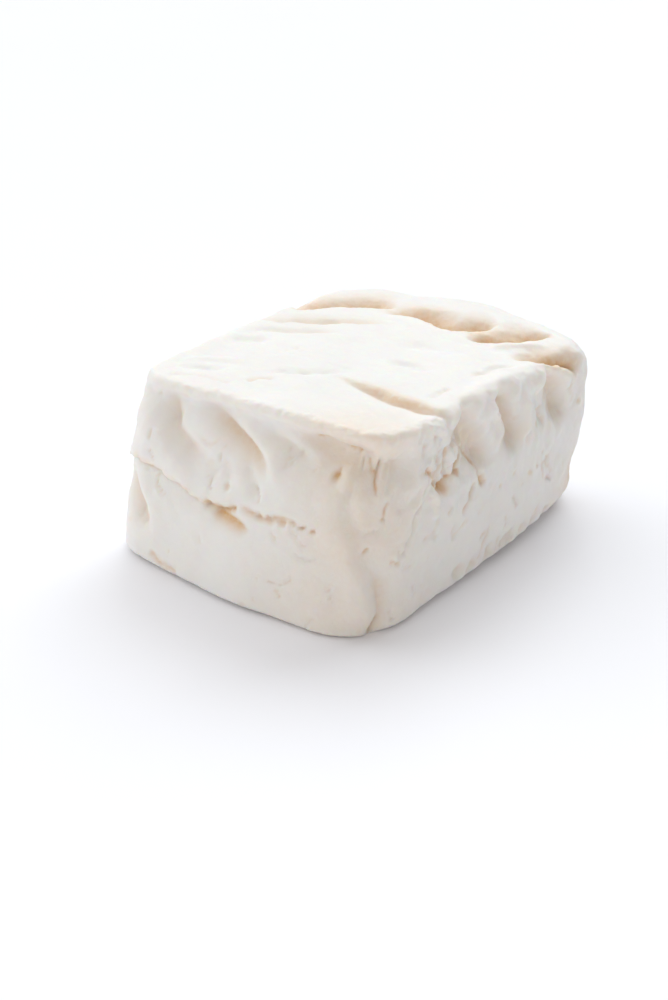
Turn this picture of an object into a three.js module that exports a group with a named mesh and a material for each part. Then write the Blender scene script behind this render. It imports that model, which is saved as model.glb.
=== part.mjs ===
// A block of fresh soft cheese, unwrapped: a slumped, round-edged brick with the folds that its
// foil pressed into it. It is one solid piece. Millimetres, +Z up, standing on its flat foot.
// +X and +Y run across and along the block, and the origin is under its middle.
import * as THREE from "three";
import { mergeVertices } from "three/addons/utils/BufferGeometryUtils.js";

// Overall size of the plain brick, before it slumps.
const WIDTH = 66;
const LENGTH = 86;
const HEIGHT = 42.5;
const half = new THREE.Vector3(WIDTH / 2, LENGTH / 2, HEIGHT / 2);

// The spacing of the surface points, and the height over which the folds die away to the flat foot.
const STEP = 2.3;
const FOOT_FADE = 6;

// The eight corners. upright is the radius of the standing edge there, level the radius of the
// edges along the top or foot, and slump how far the soft cheese has moved from a true brick.
const CORNERS = [
  { at: [-1, -1, -1], upright: 9, level: 2.5, slump: [-4.5, -1.5, 0] },
  { at: [-1, -1, 1], upright: 8, level: 1.5, slump: [3, 2, -0.5] },
  { at: [1, -1, -1], upright: 13, level: 1, slump: [0, -2.5, 0] },
  { at: [1, -1, 1], upright: 10, level: 1.5, slump: [0, 4, -0.5] },
  { at: [-1, 1, -1], upright: 8, level: 4, slump: [-0.5, 1, 0] },
  { at: [-1, 1, 1], upright: 16, level: 5, slump: [-2.5, -3, -1] },
  { at: [1, 1, -1], upright: 9, level: 9, slump: [0, 2, 0] },
  { at: [1, 1, 1], upright: 12, level: 5.5, slump: [2, -0.5, -2.5] },
];

// Points on the faces of the plain brick. Across and along run from -1 to 1, and up from 0 to 1.
const front = (across, up) => new THREE.Vector3(across * half.x, -half.y, up * HEIGHT);
const back = (across, up) => new THREE.Vector3(across * half.x, half.y, up * HEIGHT);
const right = (along, up) => new THREE.Vector3(half.x, along * half.y, up * HEIGHT);
const left = (along, up) => new THREE.Vector3(-half.x, along * half.y, up * HEIGHT);
const top = (across, along) => new THREE.Vector3(across * half.x, along * half.y, HEIGHT);

// Furrows: soft valleys that fade out at both ends. Width is from the middle to where the
// valley has lost two thirds of its depth. A negative depth is a ridge.
const FURROWS = [
  // the slanting furrows on the upper half of the front
  {
    path: [front(-0.67, 0.95), front(-0.6, 0.82), front(-0.4, 0.7), front(-0.05, 0.63)],
    width: 3,
    depth: 1.5,
  },
  {
    path: [front(-0.5, 0.95), front(-0.2, 0.89), front(0, 0.82), front(0.18, 0.74), front(0.27, 0.64)],
    width: 2.8,
    depth: 1.6,
  },
  { path: [front(0.1, 0.88), front(0.38, 0.83), front(0.54, 0.74)], width: 2.8, depth: 1 },
  // the hollow under the top edge of the front
  { path: [front(-0.8, 0.9), front(-0.2, 0.92), front(0.3, 0.91), front(0.8, 0.88)], width: 3.4, depth: 0.9 },
  // the fold down the left of the front, and the one beside the near corner
  { path: [front(-0.9, 0.46), front(-0.77, 0.34), front(-0.64, 0.18)], width: 2.6, depth: 1.4 },
  { path: [front(0.8, 0.66), front(0.86, 0.42), right(-0.9, 0.26), right(-0.87, 0.1)], width: 2.6, depth: 1.2 },
  // the dents that run down the right face from its top edge
  { path: [right(-0.4, 0.95), right(-0.28, 0.84), right(-0.2, 0.64)], width: 3.6, depth: 1.7 },
  { path: [right(-0.02, 0.92), right(0.06, 0.76), right(0.12, 0.6)], width: 3.4, depth: 1.5 },
  { path: [right(0.32, 0.9), right(0.38, 0.66)], width: 3.6, depth: 1.2 },
  { path: [right(0.52, 0.84), right(0.67, 0.58)], width: 3.4, depth: 1.5 },
  // the grooves across the top
  { path: [top(-0.93, -0.12), top(-0.45, 0.2), top(-0.15, 0.38)], width: 3.4, depth: 0.9 },
  { path: [top(-0.92, 0.24), top(-0.74, 0.46), top(-0.5, 0.7)], width: 3.4, depth: 1.5 },
  { path: [top(-0.38, 0.52), top(0, 0.52), top(0.34, 0.66)], width: 3.8, depth: 1.7 },
  { path: [top(0.42, 0.44), top(0.58, 0.64), top(0.74, 0.9)], width: 3.6, depth: 2.1 },
  { path: [top(0.76, 0.38), top(0.96, 0.5), right(0.76, 0.86)], width: 3.4, depth: 2 },
  { path: [top(-0.25, -0.5), top(0.12, -0.3)], width: 3.4, depth: 0.6 },
  // the folds on the two faces at the back
  { path: [left(-0.7, 0.9), left(-0.5, 0.62)], width: 3.6, depth: 1.4 },
  { path: [left(-0.2, 0.95), left(0.05, 0.7), left(0.1, 0.5)], width: 3.6, depth: 1.6 },
  { path: [left(0.4, 0.92), left(0.6, 0.6)], width: 3.6, depth: 1.3 },
  { path: [back(0.6, 0.92), back(0.3, 0.7), back(0.12, 0.5)], width: 3.8, depth: 1.5 },
  { path: [back(0, 0.94), back(-0.3, 0.72)], width: 3.4, depth: 1.4 },
  { path: [back(-0.62, 0.9), back(-0.78, 0.5)], width: 3.4, depth: 1.2 },
];

// Ledges: steps in the surface. The side that toward points to lies lower, deepest at the step,
// and comes back to the face over its reach. The other side ends in a lip, as wide as lip says.
const LEDGES = [
  // the seam round the middle of the block, from the left face to halfway across the front
  {
    path: [
      left(-0.5, 0.5), left(-0.9, 0.54), front(-0.88, 0.54), front(-0.5, 0.5),
      front(-0.16, 0.465), front(0.2, 0.5), front(0.55, 0.5),
    ],
    toward: new THREE.Vector3(0, 0, -1),
    reach: 4,
    lip: 1.3,
    depth: 1.5,
  },
  // the long step across the top, which runs out over the right edge
  {
    path: [top(0.08, -0.52), top(0.3, -0.47), top(0.5, -0.49), top(0.86, -0.54), right(-0.44, 0.93)],
    toward: new THREE.Vector3(0, -1, 0),
    reach: 5,
    lip: 1.6,
    depth: 1.9,
  },
];

// The distance over which a step falls, and the height of its lip as a share of its depth.
const LEDGE_RISE = 0.6;
const LIP_HEIGHT = 0.25;

// Swells: broad low rises where the cheese bulges between its corners.
const SWELLS = [
  { at: front(0.05, 0.22), radius: 24, height: 3.4 },
  { at: front(-0.97, 0.48), radius: 10, height: 1.2 },
  { at: right(0.1, 0.25), radius: 24, height: 1.6 },
  { at: left(0, 0.3), radius: 24, height: 1.8 },
  { at: back(0, 0.3), radius: 24, height: 2 },
  { at: top(0.1, 0.9), radius: 14, height: 2 },
];

const clamp = THREE.MathUtils.clamp;
const smoothstep = THREE.MathUtils.smoothstep;

// A corner value at u, where u runs from -1 to 1 on each axis, mixed from all eight corners.
function mixed(u, valueOf) {
  return CORNERS.reduce((sum, corner) => {
    const share = corner.at.reduce((w, side, i) => (w * (1 + side * u.getComponent(i))) / 2, 1);
    return sum + share * valueOf(corner);
  }, 0);
}

// Moves a point of the square-edged brick onto the round-edged one, and says which way its
// surface faces. The plan's corners are rounded first, then the edges along the top and foot.
function rounded(box) {
  const u = box.clone().divide(half);
  const upright = mixed(u, (corner) => corner.upright);
  const level = mixed(u, (corner) => corner.level);

  const inner = new THREE.Vector2(
    clamp(box.x, upright - half.x, half.x - upright),
    clamp(box.y, upright - half.y, half.y - upright),
  );
  const outward = new THREE.Vector2(box.x, box.y).sub(inner);
  const ring = Math.max(Math.abs(outward.x), Math.abs(outward.y));
  if (ring > 0) outward.normalize();

  const inset = Math.min(half.x - Math.abs(box.x), half.y - Math.abs(box.y));
  const below = half.z - Math.abs(box.z);
  const corner = new THREE.Vector2(Math.max(level - inset, 0), Math.max(level - below, 0));
  const square = Math.max(corner.x, corner.y);
  if (square > 0) corner.setLength(square);
  const newInset = corner.x > 0 ? level - corner.x : inset;
  const newBelow = corner.y > 0 ? level - corner.y : below;

  const plan = inner.addScaledVector(outward, ring + inset - newInset);
  const side = Math.sign(box.z);
  return {
    point: new THREE.Vector3(plan.x, plan.y, side * (half.z - newBelow) + half.z),
    facing: new THREE.Vector3(outward.x * corner.x, outward.y * corner.x, side * corner.y).normalize(),
  };
}

// The nearest point of a path, and how far along the path it is, from 0 to 1.
function nearestOn(path, point) {
  const lengths = path.slice(1).map((end, i) => end.distanceTo(path[i]));
  const whole = lengths.reduce((a, b) => a + b, 0);
  let best = { gap: Infinity };
  let before = 0;
  lengths.forEach((length, i) => {
    const line = new THREE.Line3(path[i], path[i + 1]);
    const share = line.closestPointToPointParameter(point, true);
    const at = line.at(share, new THREE.Vector3());
    const gap = at.distanceTo(point);
    if (gap < best.gap) best = { gap, at, along: (before + share * length) / whole };
    before += length;
  });
  return best;
}

// A fold is at full depth along the middle of its path and fades towards both ends.
const FADE = 0.25;
const fade = (along) => smoothstep(along, 0, FADE) * smoothstep(1 - along, 0, FADE);

const bell = (distance, width) => Math.exp(-((distance / width) ** 2));

function furrowDepth({ path, width, depth }, point) {
  const near = nearestOn(path, point);
  return depth * fade(near.along) * bell(near.gap, width);
}

function ledgeDepth({ path, toward, reach, lip, depth }, point) {
  const near = nearestOn(path, point);
  const beyond = point.clone().sub(near.at).dot(toward);
  const fall = beyond > 0 ? smoothstep(beyond, 0, LEDGE_RISE) * Math.exp(-near.gap / reach) : 0;
  const round = beyond > 0 ? 0 : -LIP_HEIGHT * bell(near.gap, lip);
  return depth * fade(near.along) * (fall + round);
}

// How far the surface stands out from the round-edged brick at a point of it. The foot stays
// flat, because the height is faded out above it and only the sideways part is kept.
function relief(point, facing) {
  const sunk =
    FURROWS.reduce((sum, fold) => sum + furrowDepth(fold, point), 0) +
    LEDGES.reduce((sum, fold) => sum + ledgeDepth(fold, point), 0);
  const raised = SWELLS.reduce(
    (sum, { at, radius, height }) => sum + height * bell(point.distanceTo(at), radius),
    0,
  );
  const out = facing.clone().multiplyScalar(raised - sunk);
  out.z *= smoothstep(point.z, 0, FOOT_FADE);
  return out;
}

function slumped(point) {
  const u = new THREE.Vector3(point.x, point.y, point.z - half.z).divide(half);
  const along = [0, 1, 2].map((axis) => mixed(u, (corner) => corner.slump[axis]));
  return new THREE.Vector3(...along);
}

// The box's grid of points, each moved onto the finished surface.
function blockGeometry() {
  const count = (size) => Math.max(2, Math.round(size / STEP));
  const box = new THREE.BoxGeometry(
    WIDTH, LENGTH, HEIGHT,
    count(WIDTH), count(LENGTH), count(HEIGHT),
  );
  box.deleteAttribute("normal");
  box.deleteAttribute("uv");
  const block = mergeVertices(box);
  const places = block.getAttribute("position");
  const corner = new THREE.Vector3();
  for (let i = 0; i < places.count; i++) {
    corner.fromBufferAttribute(places, i);
    const { point, facing } = rounded(corner);
    const moved = slumped(point).add(relief(point, facing));
    point.add(moved);
    places.setXYZ(i, point.x, point.y, point.z);
  }
  // The folds move the sides a little, so the block is centred over the origin again.
  block.computeBoundingBox();
  const middle = block.boundingBox.getCenter(new THREE.Vector3());
  block.translate(-middle.x, -middle.y, -block.boundingBox.min.z);
  block.computeVertexNormals();
  return block;
}

const cheese = new THREE.MeshStandardMaterial({ color: 0xf6f1ea, roughness: 0.55, metalness: 0 });

const block = new THREE.Mesh(blockGeometry(), cheese);
block.name = "cheese_block";

const part = new THREE.Group();
part.add(block);
export default part;
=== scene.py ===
"""A block of soft fresh cheese, unwrapped and set down on a pale table.

The block is one piece. Its surface starts as the six faces of a brick, each a grid of points, with
rounded edges. The folds left by the wrapper, the cracks, the pits and the crumbs are pressed into
it, and its corners slump. Lengths are in millimetres until the mesh is made.
"""
import itertools
import math

import bpy
import numpy as np
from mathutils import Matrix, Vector


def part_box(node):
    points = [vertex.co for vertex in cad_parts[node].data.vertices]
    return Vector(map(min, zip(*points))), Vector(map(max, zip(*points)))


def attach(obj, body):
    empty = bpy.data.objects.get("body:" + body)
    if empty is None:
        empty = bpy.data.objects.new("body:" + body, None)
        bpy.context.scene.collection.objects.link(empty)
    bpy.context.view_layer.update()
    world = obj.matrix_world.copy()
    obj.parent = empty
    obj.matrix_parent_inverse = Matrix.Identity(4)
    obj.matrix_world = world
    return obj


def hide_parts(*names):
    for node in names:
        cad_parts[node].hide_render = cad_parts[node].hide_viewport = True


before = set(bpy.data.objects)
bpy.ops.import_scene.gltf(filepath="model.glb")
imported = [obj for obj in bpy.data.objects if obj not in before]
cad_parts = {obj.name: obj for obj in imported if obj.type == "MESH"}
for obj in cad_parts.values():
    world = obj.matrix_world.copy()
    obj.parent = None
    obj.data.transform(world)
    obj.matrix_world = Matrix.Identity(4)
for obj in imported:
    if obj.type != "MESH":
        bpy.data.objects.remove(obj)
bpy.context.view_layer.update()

MM = 0.001
NODE = "cheese_block"
cad_low, cad_high = (np.array(corner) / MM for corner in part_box(NODE))

# The slumped block measures this much more than the plain brick that it starts from.
GROWTH = np.array([6.23, 7.78, 0.65])
BRICK = cad_high - cad_low - GROWTH
HALF = BRICK / 2

# The spacing of the surface points, and the height above the foot within which the relief moves
# them less and less up or down, so that the foot stays flat.
STEP = 0.53
FOOT_FADE = 5.0

# The eight corners of the block, by their side across, along and up. upright is the radius of the
# standing edge there, level the radius of the edges along the top or foot, and slump how far the
# soft cheese has moved from a true brick.
CORNERS = {
    (-1, -1, -1): {"upright": 9, "level": 2.5, "slump": (-4.5, -1.5, 0)},
    (-1, -1, 1): {"upright": 8, "level": 1.5, "slump": (3, 2, -0.5)},
    (1, -1, -1): {"upright": 13, "level": 1, "slump": (0, -2.5, 0)},
    (1, -1, 1): {"upright": 10, "level": 1.5, "slump": (0, 4, -0.5)},
    (-1, 1, -1): {"upright": 8, "level": 4, "slump": (-0.5, 1, 0)},
    (-1, 1, 1): {"upright": 16, "level": 5, "slump": (-2.5, -3, -1)},
    (1, 1, -1): {"upright": 9, "level": 9, "slump": (0, 2, 0)},
    (1, 1, 1): {"upright": 12, "level": 5.5, "slump": (2, -0.5, -2.5)},
}

# Directions on the block.
LEFT = np.array([-1.0, 0, 0])
NEAR = np.array([0, -1.0, 0])
FAR = np.array([0, 1.0, 0])
DOWN = np.array([0, 0, -1.0])

# Grid points that agree to one part in this many are welded.
WELD = 1e5
# Noise cells are counted from here, so that their numbers are never negative.
FIRST_CELL = 100000
# Gradient noise is multiplied by this to reach from about -1 to 1.
NOISE_GAIN = 1.6


def front(across, up):
    """A place on the brick's front: across from -1 to 1, up from 0 to 1."""
    return np.array([across, -1, 2 * up - 1]) * HALF


def back(across, up):
    """A place on the brick's back: across from -1 to 1, up from 0 to 1."""
    return np.array([across, 1, 2 * up - 1]) * HALF


def right(along, up):
    """A place on the brick's right face: along from -1, in front, to 1, up from 0 to 1."""
    return np.array([1, along, 2 * up - 1]) * HALF


def left(along, up):
    """A place on the brick's left face: along from -1, in front, to 1, up from 0 to 1."""
    return np.array([-1, along, 2 * up - 1]) * HALF


def top(across, along):
    """A place on the brick's top: across and along from -1 to 1."""
    return np.array([across, along, 1]) * HALF


def place(across, along, up):
    """Any place in the brick, such as one on a rounded corner."""
    return np.array([across, along, 2 * up - 1]) * HALF


# ---------------------------------------------------------------- the plain block


def brick_grid():
    """The six faces of a brick as grids of points, welded where they meet.

    A face takes a and b, each from -1 to 1, to the point whose two free coordinates they are and
    whose third is -1 or 1. Returns the points and the four-sided faces, which point outwards.
    """
    counts = np.maximum(2, np.round(BRICK / STEP)).astype(int)
    points, faces, used = [], [], 0
    for axis, side in itertools.product(range(3), (-1, 1)):
        first, second = [i for i in range(3) if i != axis]
        a, b = np.meshgrid(
            np.linspace(-1, 1, counts[first] + 1),
            np.linspace(-1, 1, counts[second] + 1),
            indexing="ij",
        )
        face = np.full(a.shape + (3,), float(side))
        face[..., first] = a
        face[..., second] = b
        number = np.arange(a.size).reshape(a.shape) + used
        corners = [number[:-1, :-1], number[1:, :-1], number[1:, 1:], number[:-1, 1:]]
        quads = np.stack(corners, -1).reshape(-1, 4)
        # a grid's own order faces outwards on only one of an axis's two sides
        inside_out = (side < 0) != (axis == 1)
        points.append(face.reshape(-1, 3))
        faces.append(quads[:, ::-1] if inside_out else quads)
        used += a.size
    points, faces = np.concatenate(points), np.concatenate(faces)
    keys = np.round(points * WELD).astype(np.int64)
    _, kept, welded = np.unique(keys, axis=0, return_index=True, return_inverse=True)
    return points[kept], welded.reshape(-1)[faces]


def mixed(share, key):
    """A corner value at each place: the eight corners' values, weighted by how near each corner is.

    share is the place from -1 to 1 on each axis, and a corner's weight is the product of
    (1 + side * share) / 2 over the three axes.
    """
    total = 0
    for sides, corner in CORNERS.items():
        weight = np.prod((1 + np.array(sides) * share) / 2, axis=1)
        total = total + weight[:, None] * np.atleast_1d(corner[key])
    return total


def rounded(share):
    """Moves points of the square-edged brick onto the round-edged one.

    In plan, a point within the upright radius of a corner goes from its square ring onto the circle
    of the same size. In height, a point within the level radius of an edge does the same. Returns
    the points and the directions that the surface faces there.
    """
    box = share * HALF
    upright = mixed(share, "upright")
    level = mixed(share, "level")[:, 0]
    reach = HALF[:2] - upright
    inner = np.clip(box[:, :2], -reach, reach)
    outward = box[:, :2] - inner
    ring = np.abs(outward).max(axis=1)
    outward = outward / np.maximum(np.linalg.norm(outward, axis=1), 1e-9)[:, None]

    inset = (HALF[:2] - np.abs(box[:, :2])).min(axis=1)
    below = HALF[2] - np.abs(box[:, 2])
    corner = np.maximum(level[:, None] - np.stack([inset, below], 1), 0)
    length = np.linalg.norm(corner, axis=1)
    corner = corner * (corner.max(axis=1) / np.maximum(length, 1e-9))[:, None]
    new_inset = np.where(corner[:, 0] > 0, level - corner[:, 0], inset)
    new_below = np.where(corner[:, 1] > 0, level - corner[:, 1], below)

    side = np.sign(box[:, 2])
    plan = inner + outward * (ring + inset - new_inset)[:, None]
    points = np.column_stack([plan, side * (HALF[2] - new_below)])
    facing = np.column_stack([outward * corner[:, :1], side * corner[:, 1]])
    return points, facing / np.linalg.norm(facing, axis=1)[:, None]


# ---------------------------------------------------------------- noise


def scattered(cell, seed):
    """A random number from 0 to 1 for each whole-number cell, the same one every time.

    The cell's three numbers and the seed are multiplied by large odd numbers and added, and the
    sum's bits are stirred twice. Only the lowest 32 bits are kept.
    """
    x, y, z = (cell[:, i].astype(np.uint64) for i in range(3))
    mask = np.uint64(0xFFFFFFFF)
    h = (x * np.uint64(374761393) + y * np.uint64(668265263)) & mask
    h = (h + z * np.uint64(2147483647) + np.uint64(seed * 144665)) & mask
    for _ in range(2):
        h = ((h ^ (h >> np.uint64(15))) * np.uint64(2246822519)) & mask
        h = ((h ^ (h >> np.uint64(13))) * np.uint64(3266489917)) & mask
    return (h ^ (h >> np.uint64(16))).astype(float) / float(mask)


def soft_noise(points, size, seed):
    """Gradient noise from about -1 to 1, whose bumps are about size across.

    Each corner of a cubic cell has a random slope. The value is the sum over the eight corners of
    slope . (place - corner), weighted by 6t^5 - 15t^4 + 10t^3 on each axis.
    """
    cell = np.floor(points / size)
    inside = points / size - cell
    cell = cell.astype(np.int64) + FIRST_CELL
    ease = inside**3 * (inside * (inside * 6 - 15) + 10)
    total = np.zeros(len(points))
    for corner in itertools.product((0, 1), repeat=3):
        at = np.array(corner)
        slope = np.stack([scattered(cell + at, 3 * seed + i) for i in range(3)], 1) * 2 - 1
        weight = np.prod(np.where(at, ease, 1 - ease), axis=1)
        total += weight * (slope * (inside - at)).sum(axis=1)
    return total * NOISE_GAIN


def wander(points, size, far, seed):
    """Three noises side by side: how far each point strays, up to about far on each axis."""
    return far * np.stack([soft_noise(points, size, seed + i) for i in range(3)], 1)


def crumbs(points, size, seed):
    """Random cells about size across: each whole-number cell has one centre at a random place.

    Returns the distances to the nearest two centres, in cell sizes, and a random number of the
    nearest one's cell.
    """
    scaled = points / size
    home = np.floor(scaled).astype(np.int64)
    nearest = np.full(len(points), np.inf)
    second = np.full(len(points), np.inf)
    lot = np.zeros(len(points))
    for offset in itertools.product((-1, 0, 1), repeat=3):
        cell = home + np.array(offset)
        key = cell + FIRST_CELL
        centre = cell + np.stack([scattered(key, seed + i) for i in range(3)], 1)
        distance = np.linalg.norm(scaled - centre, axis=1)
        closer = distance < nearest
        second = np.where(closer, nearest, np.minimum(second, distance))
        lot = np.where(closer, scattered(key, seed + 7), lot)
        nearest = np.where(closer, distance, nearest)
    return nearest, second, lot


def eased(low, high, value):
    """0 below low, 1 above high, and a smooth rise between them."""
    t = np.clip((value - low) / (high - low), 0, 1)
    return t * t * (3 - 2 * t)


# ---------------------------------------------------------------- what is pressed into it


def curve(places, pieces=6):
    """A smooth curve through the given places, as a chain of short lines.

    It is a Catmull-Rom spline: between b and c, with a before them and d after, it is half of
    2b + (c - a)t + (2a - 5b + 4c - d)t^2 + (3b - a - 3c + d)t^3.
    """
    ends = [2 * places[0] - places[1], *places, 2 * places[-1] - places[-2]]
    t = np.linspace(0, 1, pieces, endpoint=False)[:, None]
    chain = [
        0.5 * (2 * b + (c - a) * t + (2 * a - 5 * b + 4 * c - d) * t**2
               + (3 * b - a - 3 * c + d) * t**3)
        for a, b, c, d in zip(ends, ends[1:], ends[2:], ends[3:])
    ]
    return np.concatenate([*chain, [places[-1]]])


def nearest_on(chain, points):
    """For each point: its gap to the chain, the way from it to the point, and how far along it is.

    A point's share of a line is (point - start) . step / length^2, held between 0 and 1. The line
    with the smallest gap counts, and how far along goes from 0 to 1 over the whole chain.
    """
    starts, steps = chain[:-1], np.diff(chain, axis=0)
    lengths = np.linalg.norm(steps, axis=1)
    share = ((points[:, None] - starts) * steps).sum(-1) / lengths**2
    share = np.clip(share, 0, 1)
    away = points[:, None] - starts - share[..., None] * steps
    gap = np.linalg.norm(away, axis=-1)
    best = gap.argmin(axis=1)
    row = np.arange(len(points))
    before = np.concatenate([[0], np.cumsum(lengths)[:-1]])
    along = (before[best] + share[row, best] * lengths[best]) / lengths.sum()
    return gap[row, best], away[row, best], along


class Relief:
    """What is pressed into the plain block at each of its points.

    depth is in mm. The shade value, from 0 to 1, is how strongly a darker warm colour is painted in
    as shade where the surface is pressed in: creases, cracks, pits, folds and hollows. crumbly is
    how crumbly it is, also from 0 to 1. Smooth points stray a little, so that nothing runs straight,
    and ragged ones more and faster.
    """

    # How far from a step its lip is highest, in mm.
    RIM = 1.2
    # How many widths from its curve a furrow, a step and a crack still press.
    FURROW_REACH, LEDGE_REACH, CRACK_REACH = 2.6, 4, 6

    def __init__(self, points):
        self.plain = points
        self.smooth = points + wander(points, size=6, far=0.7, seed=11)
        self.ragged = self.smooth + wander(points, size=1.7, far=0.45, seed=21)
        self.ragged += wander(points, size=0.8, far=0.2, seed=31)
        self.depth = np.zeros(len(points))
        self.painted_shade = np.zeros(len(points))
        self.crumbly = np.zeros(len(points))

    def near_curve(self, places, reach, points, ends):
        """The points within reach of a curve, with their gaps, ways and a fade at its ends."""
        chain = curve(places)
        low, high = chain.min(axis=0) - reach, chain.max(axis=0) + reach
        close = np.nonzero(((points > low) & (points < high)).all(axis=1))[0]
        gap, away, along = nearest_on(chain, points[close])
        start, end = ends
        fade = eased(0, start, along) * eased(0, end, 1 - along)
        return close, gap, away, fade

    def furrow(self, *places, depth, width, other=None, toward=DOWN, power=2.0, painted_shade=0.0,
               ends=(0.3, 0.3), torn=False):
        """A valley: depth * exp(-(gap / width)^power) from the curve outwards.

        On the side away from toward, other takes the place of width. Power 2 is soft and 1.4 a
        crease. A negative depth is a ridge. Shade is painted along it in a darker warm colour,
        strongest on its curve. A torn one has ragged sides, and has its painted shade spread over
        more of its width.
        """
        reach = self.FURROW_REACH * max(width, other or width)
        points = self.ragged if torn else self.smooth
        close, gap, away, fade = self.near_curve(places, reach, points, ends)
        side = width if other is None else np.where(away @ toward > 0, width, other)
        shape = fade * np.exp(-((gap / side) ** power)) * (1 - eased(0.7, 1, gap / reach))
        self.depth[close] += depth * shape
        spread = 0.7 if torn else 1.4
        self.painted_shade[close] = np.maximum(self.painted_shade[close], painted_shade * shape**spread)

    def ledge(self, *places, depth, reach, toward, fall=0.5, lip=0.3, painted_shade=0.0, ends=(0.15, 0.15)):
        """A step, with a drop on the side that toward points to and a round lip on the other.

        The drop is depth over the distance fall, and comes back as exp(-gap / reach). The lip is
        lip * depth * (gap / RIM) * exp(1 - gap / RIM) high. A fall under 1 mm leaves a ragged
        edge, and a longer one a smooth bank.
        """
        points = self.ragged if fall < 1 else self.smooth
        close, gap, away, fade = self.near_curve(places, self.LEDGE_REACH * reach, points, ends)
        below = away @ toward > 0
        drop = eased(0, fall, gap) * np.exp(-gap / reach)
        rim = -lip * (gap / self.RIM) * np.exp(1 - gap / self.RIM)
        self.depth[close] += depth * fade * np.where(below, drop, rim)
        # painted shade: a darker warm colour along the drop, and half as much on the lip side
        shape = fade * np.exp(-(((gap - fall / 2) / (0.5 + fall / 2)) ** 2))
        shape *= np.where(below, 1, 0.5)
        self.painted_shade[close] = np.maximum(self.painted_shade[close], painted_shade * shape)

    def crack(self, *places, depth, width=0.45, painted_shade=0.5, ends=(0.12, 0.12)):
        """A thin split: depth * exp(-(gap / width)^1.5), with ragged sides. Shade is painted into it
        in a darker warm colour, by the same curve.
        """
        far = self.CRACK_REACH * width
        close, gap, _, fade = self.near_curve(places, far, self.ragged, ends)
        shape = fade * np.exp(-((gap / width) ** 1.5))
        self.depth[close] += depth * shape
        self.painted_shade[close] = np.maximum(self.painted_shade[close], painted_shade * shape)

    def pit(self, at, radius, depth, painted_shade=0.5, stretch=(1, 1, 1)):
        """A small hole: depth * exp(-(gap / radius)^3), with shade painted into it in a darker warm
        colour by the same curve. stretch makes it longer along an axis.
        """
        gap = np.linalg.norm((self.ragged - at) / np.array(stretch), axis=1) / radius
        shape = np.exp(-(gap**3))
        self.depth += depth * shape
        self.painted_shade = np.maximum(self.painted_shade, painted_shade * shape)

    def swell(self, at, radius, height):
        """A broad rise or, with a negative height, hollow: height * exp(-(gap / radius)^2)."""
        gap = np.linalg.norm(self.plain - at, axis=1) / radius
        self.depth -= height * np.exp(-(gap**2))

    def shade_patch(self, at, radius, painted_shade):
        """A patch of painted shade with no edge: a darker warm colour, by amount * exp(-(gap /
        radius)^2).
        """
        gap = np.linalg.norm(self.plain - at, axis=1) / radius
        self.painted_shade = np.maximum(self.painted_shade, painted_shade * np.exp(-(gap**2)))

    def flake(self, at, size, height):
        """A loose flat-topped piece with ragged steep sides: height * exp(-(gap / size)^6)."""
        gap = np.linalg.norm((self.ragged - at) / np.array(size), axis=1)
        self.depth -= height * np.exp(-(gap**6))


def press_swells(relief):
    """The broad bulges between the corners."""
    relief.swell(front(0.05, 0.22), radius=24, height=3.4)
    relief.swell(front(-0.97, 0.48), radius=10, height=1.2)
    relief.swell(right(0.1, 0.25), radius=24, height=1.6)
    relief.swell(left(0, 0.3), radius=24, height=1.8)
    relief.swell(back(0, 0.3), radius=24, height=2.0)
    relief.swell(top(0.1, 0.9), radius=14, height=2.0)


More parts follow.
